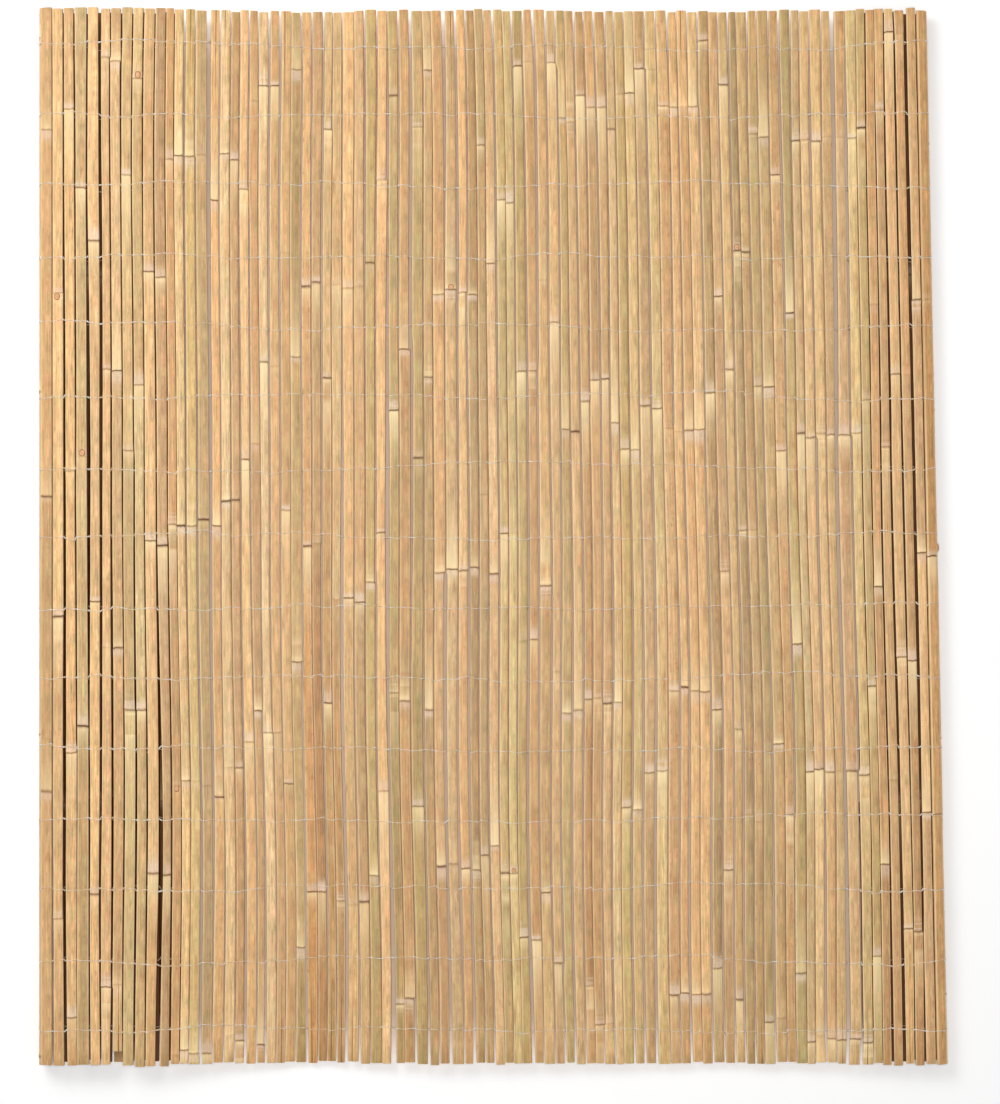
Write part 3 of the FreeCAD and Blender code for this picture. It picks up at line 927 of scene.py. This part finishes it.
def add_spline(curve, points, radii=None):
    spline = curve.splines.new("POLY")
    spline.points.add(len(points) - 1)
    for k, (target, point) in enumerate(zip(spline.points, points)):
        target.co = (*point, 1.0)
        target.radius = radii[k] if radii else 1.0


def new_curve(name, thickness):
    curve = bpy.data.curves.new(name, "CURVE")
    curve.dimensions = "3D"
    curve.bevel_depth = thickness / 2
    curve.bevel_resolution = 1
    curve.use_fill_caps = True
    curve.twist_mode = "MINIMUM"
    return curve


def finish_curve(name, curve, material):
    """Turn a curve into a smooth mesh piece."""
    piece = bpy.data.objects.new(name, curve)
    bpy.context.scene.collection.objects.link(piece)
    choose([piece])
    bpy.ops.object.convert(target="MESH")
    piece = bpy.context.view_layer.objects.active
    paint(piece, material)
    bpy.ops.object.shade_smooth()
    return piece


def stray_end(row, height):
    """A loose end of wire that sticks out beside the left turn."""
    slat = min(of_zone(row, "left_turn"), key=lambda item: item.point(0, 0, 0)[0])
    s = slat.station(height)
    start = slat.point(0, s, slat.thickness / 2 + 0.4 * MM)
    steps = ((0, 0, 0), (-1.5, 0.6, 0.5), (-3.6, 2.0, 0.8), (-5.6, 4.6, 0.4), (-7.0, 6.4, -0.6))
    return [start + np.array(step) * MM for step in steps]


def dress_wires(look):
    """Two strands to each row of binding wire, twisted between the slats."""
    material = wire_finish(look)
    rng = random.Random(SEED + 7)
    names = sorted(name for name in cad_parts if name.startswith("binding_wire"))
    for name in names:
        low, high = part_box(name)
        height = (low.y + high.y) / 2
        curve = new_curve("twisted_" + name, look.wire_thickness)
        heights = strand_heights(ROW, height, look, rng)
        for phase in (0, 1):
            path, radii = strand_path(ROW, heights, phase, look)
            before = wire_tail(ROW, heights[0][0], False, phase, look)[::-1]
            after = wire_tail(ROW, heights[-1][1], True, phase, look)
            radii = [1.0] * len(before) + radii + [1.0] * len(after)
            add_spline(curve, before + path + after, radii)
        if name == names[0]:
            add_spline(curve, stray_end(ROW, height))
        piece = finish_curve("twisted_" + name, curve, material)
        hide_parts(name)
        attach(piece, "root")


def dress_fibres(look):
    """Fine fibres that have come loose from the slats and lie on the face."""
    rng = random.Random(SEED + 11)
    material = fibre_finish(look)
    face = of_zone(ROW, "face")
    curve = new_curve("loose_fibres", look.fibre_thickness)
    for _ in range(look.fibre_count):
        slat = rng.choice(face[3:-3])
        s = rng.uniform(-0.45, 0.42) * slat.length
        length = rng.uniform(25, 75) * MM
        drift = rng.uniform(-0.5, 0.5)
        points = []
        for k in range(12):
            share = k / 11
            along = s + share * length
            side = (drift * share + 0.2 * math.sin(share * 3 + s * 40)) * slat.half_width * 1.2
            lift = 0.15 * MM + 1.2 * MM * math.sin(share * math.pi) * rng.uniform(0.6, 1.0)
            points.append(slat.point(side, along, slat.skin(along) + lift * share))
        add_spline(curve, points, [1.0 - 0.6 * k / 11 for k in range(12)])
    piece = finish_curve("loose_fibres", curve, material)
    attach(piece, "root")


def bud_at(slat, s, side, size, height=0.28):
    """One bud scar: a low mound with a dimple, on the skin of a slat."""
    select_none()
    bpy.ops.mesh.primitive_uv_sphere_add(segments=18, ring_count=12, radius=1.0)
    bud = bpy.context.object
    points = np.array([vertex.co for vertex in bud.data.vertices])
    reach = np.hypot(points[:, 0], points[:, 1])
    rim = np.clip(1 - np.abs(reach - 0.84) / 0.26, 0, 1)
    dimple = np.where(points[:, 2] > 0, 0.35 * np.clip(1 - reach / 0.5, 0, 1), 0.0)
    across = points[:, 0] * size * 0.8
    along = points[:, 1] * size
    out = (points[:, 2] - dimple + 0.25 * rim * (points[:, 2] > 0)) * size * height
    level = slat.skin(s) - 0.35 * MM
    placed = [slat.point(side + a, s + b, level + c) for a, b, c in zip(across, along, out)]
    bud.data.vertices.foreach_set("co", np.array(placed, np.float32).ravel())
    write_marks(bud.data, "rim", np.repeat(rim, 4))
    return bud


def dress_buds(look):
    """Bud scars on some of the nodes, and one on the outer side of the last slat at the right."""
    rng = random.Random(SEED + 5)
    material = bud_finish(look)
    face = [slat for slat in of_zone(ROW, "face") if slat.nodes]
    buds = []
    for slat in rng.sample(face, look.bud_count):
        node = rng.choice(slat.nodes)
        size = slat.half_width * rng.uniform(0.65, 0.95)
        beside_node = node + size * rng.choice((-0.9, 0.9))
        off_middle = 0.15 * slat.half_width * rng.uniform(-1, 1)
        buds.append(bud_at(slat, beside_node, off_middle, size))
    outer = max(of_zone(ROW, "right_turn"), key=lambda slat: slat.middle[0])
    buds.append(bud_at(outer, outer.station(look.side_bud_height), 0.0, 6.5 * MM, 0.55))
    choose(buds)
    bpy.ops.object.join()
    piece = bpy.context.view_layer.objects.active
    piece.name = "bud_scars"
    paint(piece, material)
    bpy.ops.object.shade_smooth()
    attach(piece, "root")


def floor_finish(look):
    """Pale floor that stays white to the camera where nothing shades it. Under the panel it carries
    painted shade: warm under one layer, deep under both.
    """
    finish = Finish("pale_floor")
    parts = finish.node("ShaderNodeSeparateXYZ", {}, finish.place())
    across, along = [Socket(finish, output) for output in parts.socket.node.outputs[:2]]
    slanted = across + along * RIGHT_LEAN
    # the panel's footprint, where the floor carries painted shade and does not glow
    under = across.ramp(*SHADED_LEFT) * slanted.ramp(*SHADED_RIGHT)
    under = under * along.absolute().ramp(*SHADED_ENDS)
    left_flap = max(slat.middle[0] for slat in of_zone(ROW, "left_flap"))
    right_flap = min(slat.middle[0] for slat in of_zone(ROW, "right_flap"))
    # painted shade on the floor: deep where both layers lie at the ends, warm under the rest of the
    # panel
    twice = across.ramp(left_flap, left_flap - 0.01) + across.ramp(right_flap, right_flap + 0.01)
    ground = finish.mix(twice.clamp(), rgba(look.painted_shade_floor), rgba(look.painted_deep_shade_floor))
    seen = finish.nodes.new("ShaderNodeLightPath").outputs
    seen = [Socket(finish, seen[name]) for name in ("Is Camera Ray", "Is Glossy Ray",
                                                    "Is Transmission Ray")]
    glow = (seen[0] + seen[1] + seen[2]).clamp() * (1.0 - under)
    glow = finish.mix(glow, (0.0, 0.0, 0.0, 1.0), (look.floor_glow,) * 3 + (1.0,))
    finish.feed(finish.shader.inputs["Emission Color"], glow)
    finish.shader.inputs["Emission Strength"].default_value = 1.0
    finish.shader.inputs["Specular IOR Level"].default_value = 0.1
    return finish.surface(finish.mix(under, rgba(look.floor_colour), ground), 0.9)


def add_softbox(name, place, target, size, power):
    select_none()
    bpy.ops.object.light_add(type="AREA", location=place)
    light = bpy.context.object
    light.name = name
    light.data.shape = "RECTANGLE"
    light.data.size, light.data.size_y = size
    light.data.energy = power
    light.rotation_euler = (Vector(target) - Vector(place)).to_track_quat("-Z", "Y").to_euler()


def set_stage(stage):
    """Floor, soft studio light and a camera that looks straight down."""
    select_none()
    bpy.ops.mesh.primitive_plane_add(size=stage.floor_size, location=(0, 0, -0.2 * MM))
    floor = bpy.context.object
    floor.name = "floor"
    floor.data.materials.append(floor_finish(stage))
    add_softbox("key_softbox", (-1.7, 1.9, 2.6), (0, 0.1, 0), (2.0, 1.4), stage.key_power)
    add_softbox("fill_softbox", (1.4, -2.4, 2.8), (0, 0, 0), (2.4, 1.8), stage.fill_power)
    add_softbox("top_softbox", (0, 0, 3.6), (0, 0, 0), (0.5, 0.5), stage.top_power)
    world = bpy.data.worlds.new("studio")
    bpy.context.scene.world = world
    world.use_nodes = True
    background = world.node_tree.nodes["Background"]
    background.inputs["Color"].default_value = (1.0, 1.0, 1.0, 1.0)
    background.inputs["Strength"].default_value = stage.sky
    bpy.ops.object.camera_add(location=(stage.camera_x, stage.camera_y, stage.camera_height),
                              rotation=(0, 0, 0))
    camera = bpy.context.object
    camera.data.sensor_fit = "HORIZONTAL"
    camera.data.sensor_width = SENSOR_WIDTH
    camera.data.lens = SENSOR_WIDTH * stage.camera_height / stage.view_width
    camera.data.clip_start = 0.05
    camera.data.clip_end = 50.0
    bpy.context.scene.camera = camera
    bpy.context.scene.view_settings.view_transform = "Standard"


def colour_property(name, description, default):
    return bpy.props.FloatVectorProperty(name=name, description=description, default=default,
                                         subtype="COLOR_GAMMA", size=3, min=0.0, max=1.0)


def power_property(name, description, default):
    return bpy.props.FloatProperty(name=name, description=description, default=default, unit="POWER")


def length_property(name, description, default):
    return bpy.props.FloatProperty(name=name, description=description, default=default, min=0.0,
                                   unit="LENGTH", precision=5)


class BambooLook(bpy.types.PropertyGroup):
    """Colours of the bamboo and sizes of the binding wire"""

    straw: colour_property("Straw", "Golden straw of most culms", (0.945, 0.736, 0.505))
    pale_straw: colour_property("Pale straw", "Palest culms", (0.956, 0.79, 0.572))
    pink_tan: colour_property("Pink tan", "Culms that dried pinkish", (0.93, 0.73, 0.515))
    green_grey: colour_property("Green grey", "Culms cut green", (0.824, 0.706, 0.455))
    grey_beige: colour_property("Grey beige", "Weathered culms", (0.844, 0.702, 0.485))
    orange_tan: colour_property("Orange tan", "Culms that ripened most", (0.895, 0.67, 0.44))
    ripe_tone: colour_property("Ripe tone", "Warm patches in the skin", (0.92, 0.685, 0.45))
    dull_tone: colour_property("Dull tone", "Greyed patches in the skin", (0.788, 0.652, 0.435))
    pink_tone: colour_property("Pink tone", "Pinkish streaks in the skin", (0.93, 0.72, 0.505))
    green_tone: colour_property("Green tone", "Greenish streaks in the skin", (0.788, 0.69, 0.438))
    # painted highlight on the left edges of the slats, and pale right edges on worn slats
    lit_and_worn_edge_colour: colour_property("Edge", "Pale fibres along the edges", (0.96, 0.84, 0.65))
    burnt_colour: colour_property("Burnt", "Brown streaks", (0.72, 0.47, 0.25))
    bud_colour: colour_property("Bud", "Heart of a bud scar", (0.90, 0.68, 0.49))
    spot_colour: colour_property("Spots", "Brown spots and flecks", (0.62, 0.38, 0.19))
    cut_colour: colour_property("Cut side", "Sides where the culm was split", (0.88, 0.67, 0.43))
    pith_colour: colour_property("Pith", "Inner face of the slats", (0.93, 0.77, 0.57))
    # painted shade on the inner sides of the slats where two layers lie
    painted_shade_colour: colour_property("Inner side", "Darkened inner sides at the ends", (0.34, 0.15, 0.01))
    inner_shade: bpy.props.FloatProperty(name="Inner shade", description="How dark those are",
                                         default=0.92, min=0.0, max=1.0)
    pale_colour: colour_property("Pale ring", "Pale ring beside a node", (1.0, 0.90, 0.69))
    wax_colour: colour_property("Bloom", "Waxy bloom above a node", (0.94, 0.85, 0.76))
    scar_colour: colour_property("Scar", "Dark line around a node", (0.36, 0.20, 0.08))
    zinc_bright: colour_property("Zinc", "Bright zinc", (0.97, 0.97, 0.96))
    zinc_dull: colour_property("Dull zinc", "Dull zinc", (0.84, 0.84, 0.83))
    zinc_dusty: colour_property("Dusty zinc", "Zinc under bamboo dust", (0.85, 0.75, 0.6))
    wire_thickness: length_property("Wire", "Thickness of a strand", 0.95 * MM)
    wire_wander: length_property("Wander", "How far a row strays from slat to slat", 2.6 * MM)
    wire_tilt: length_property("Tilt", "How far a strand slants on one slat", 1.4 * MM)
    fibre_thickness: length_property("Fibre", "Thickness of a loose fibre", 0.35 * MM)
    fibre_count: bpy.props.IntProperty(name="Fibres", description="Loose fibres on the face",
                                       default=26, min=0)
    bud_count: bpy.props.IntProperty(name="Buds", description="Nodes with a bud scar",
                                     default=7, min=0)
    side_bud_height: bpy.props.FloatProperty(name="Side bud", description="Height of the bud scar "
                                             "at the right edge", default=-0.015, unit="LENGTH")


class BambooStage(bpy.types.PropertyGroup):
    """Floor, lights and camera"""

    floor_colour: colour_property("Floor", "Colour of the floor", (0.985, 0.985, 0.985))
    # painted warm shade on the floor under the panel
    painted_shade_floor: colour_property("Dusty floor", "Its colour under the panel", (0.92, 0.85, 0.77))
    # painted deep shade on the floor under both layers at the ends
    painted_deep_shade_floor: colour_property("Dark floor", "Its colour under both layers", (0.34, 0.17, 0.03))
    floor_glow: bpy.props.FloatProperty(name="Floor glow", description="What keeps the floor white",
                                        default=0.1, min=0.0)
    floor_size: length_property("Floor size", "Side of the floor", 14.0)
    key_power: power_property("Key", "Power of the key softbox", 54.5)
    fill_power: power_property("Fill", "Power of the fill softbox", 3.5)
    top_power: power_property("Top", "Power of the softbox overhead", 58.5)
    sky: bpy.props.FloatProperty(name="Sky", description="Strength of the light from all round",
                                 default=0.313, min=0.0)
    camera_x: length_property("Camera X", "Camera to the right of the middle", 0.0107)
    camera_y: bpy.props.FloatProperty(name="Camera Y", description="Camera along the slats",
                                      default=-0.0214, unit="LENGTH")
    camera_height: length_property("Camera height", "Camera above the floor", 3.4)
    view_width: length_property("View width", "Width of the floor that the picture takes in", 1.4298)


class BAMBOO_OT_face_slats(bpy.types.Operator):
    """Shape the slats of the face"""
    bl_idname = "bamboo.face_slats"
    bl_label = "Face slats"

    def execute(self, context):
        dress_slats(("face",), context.scene.bamboo_look)
        return {"FINISHED"}


class BAMBOO_OT_end_slats(bpy.types.Operator):
    """Shape the slats of the turns and flaps at both ends"""
    bl_idname = "bamboo.end_slats"
    bl_label = "End slats"

    def execute(self, context):
        dress_slats(("left_turn", "left_flap", "right_turn", "right_flap"),
                    context.scene.bamboo_look)
        return {"FINISHED"}


class BAMBOO_OT_binding_wires(bpy.types.Operator):
    """Twist the binding wires around the slats"""
    bl_idname = "bamboo.binding_wires"
    bl_label = "Binding wires"

    def execute(self, context):
        dress_wires(context.scene.bamboo_look)
        return {"FINISHED"}


class BAMBOO_OT_bud_scars(bpy.types.Operator):
    """Seat bud scars on some nodes"""
    bl_idname = "bamboo.bud_scars"
    bl_label = "Bud scars"

    def execute(self, context):
        dress_buds(context.scene.bamboo_look)
        return {"FINISHED"}


class BAMBOO_OT_loose_fibres(bpy.types.Operator):
    """Lay loose fibres on the face"""
    bl_idname = "bamboo.loose_fibres"
    bl_label = "Loose fibres"

    def execute(self, context):
        dress_fibres(context.scene.bamboo_look)
        return {"FINISHED"}


class BAMBOO_OT_stage(bpy.types.Operator):
    """Set up the floor, the lights and the camera"""
    bl_idname = "bamboo.stage"
    bl_label = "Stage"

    def execute(self, context):
        set_stage(context.scene.bamboo_stage)
        return {"FINISHED"}


class BAMBOO_PT_panel(bpy.types.Panel):
    """Bamboo panel"""
    bl_idname = "BAMBOO_PT_panel"
    bl_label = "Bamboo Panel"
    bl_space_type = "VIEW_3D"
    bl_region_type = "UI"
    bl_category = "Bamboo Panel"

    def draw(self, context):
        for settings in (context.scene.bamboo_look, context.scene.bamboo_stage):
            for name in settings.bl_rna.properties.keys():
                if name not in ("rna_type", "name"):
                    self.layout.prop(settings, name)
        for operator in OPERATORS:
            self.layout.operator(operator.bl_idname)


OPERATORS = (BAMBOO_OT_face_slats, BAMBOO_OT_end_slats, BAMBOO_OT_binding_wires,
             BAMBOO_OT_bud_scars, BAMBOO_OT_loose_fibres, BAMBOO_OT_stage)
CLASSES = (BambooLook, BambooStage) + OPERATORS + (BAMBOO_PT_panel,)


def register():
    for item in CLASSES:
        bpy.utils.register_class(item)
    bpy.types.Scene.bamboo_look = bpy.props.PointerProperty(type=BambooLook)
    bpy.types.Scene.bamboo_stage = bpy.props.PointerProperty(type=BambooStage)


def unregister():
    del bpy.types.Scene.bamboo_stage
    del bpy.types.Scene.bamboo_look
    for item in reversed(CLASSES):
        bpy.utils.unregister_class(item)


def main():
    register()
    colour_row(ROW, bpy.context.scene.bamboo_look, random.Random(SEED + 3))
    bpy.ops.bamboo.face_slats()
    bpy.ops.bamboo.end_slats()
    bpy.ops.bamboo.binding_wires()
    bpy.ops.bamboo.bud_scars()
    bpy.ops.bamboo.loose_fibres()
    bpy.ops.bamboo.stage()


if __name__ == "__main__":
    main()
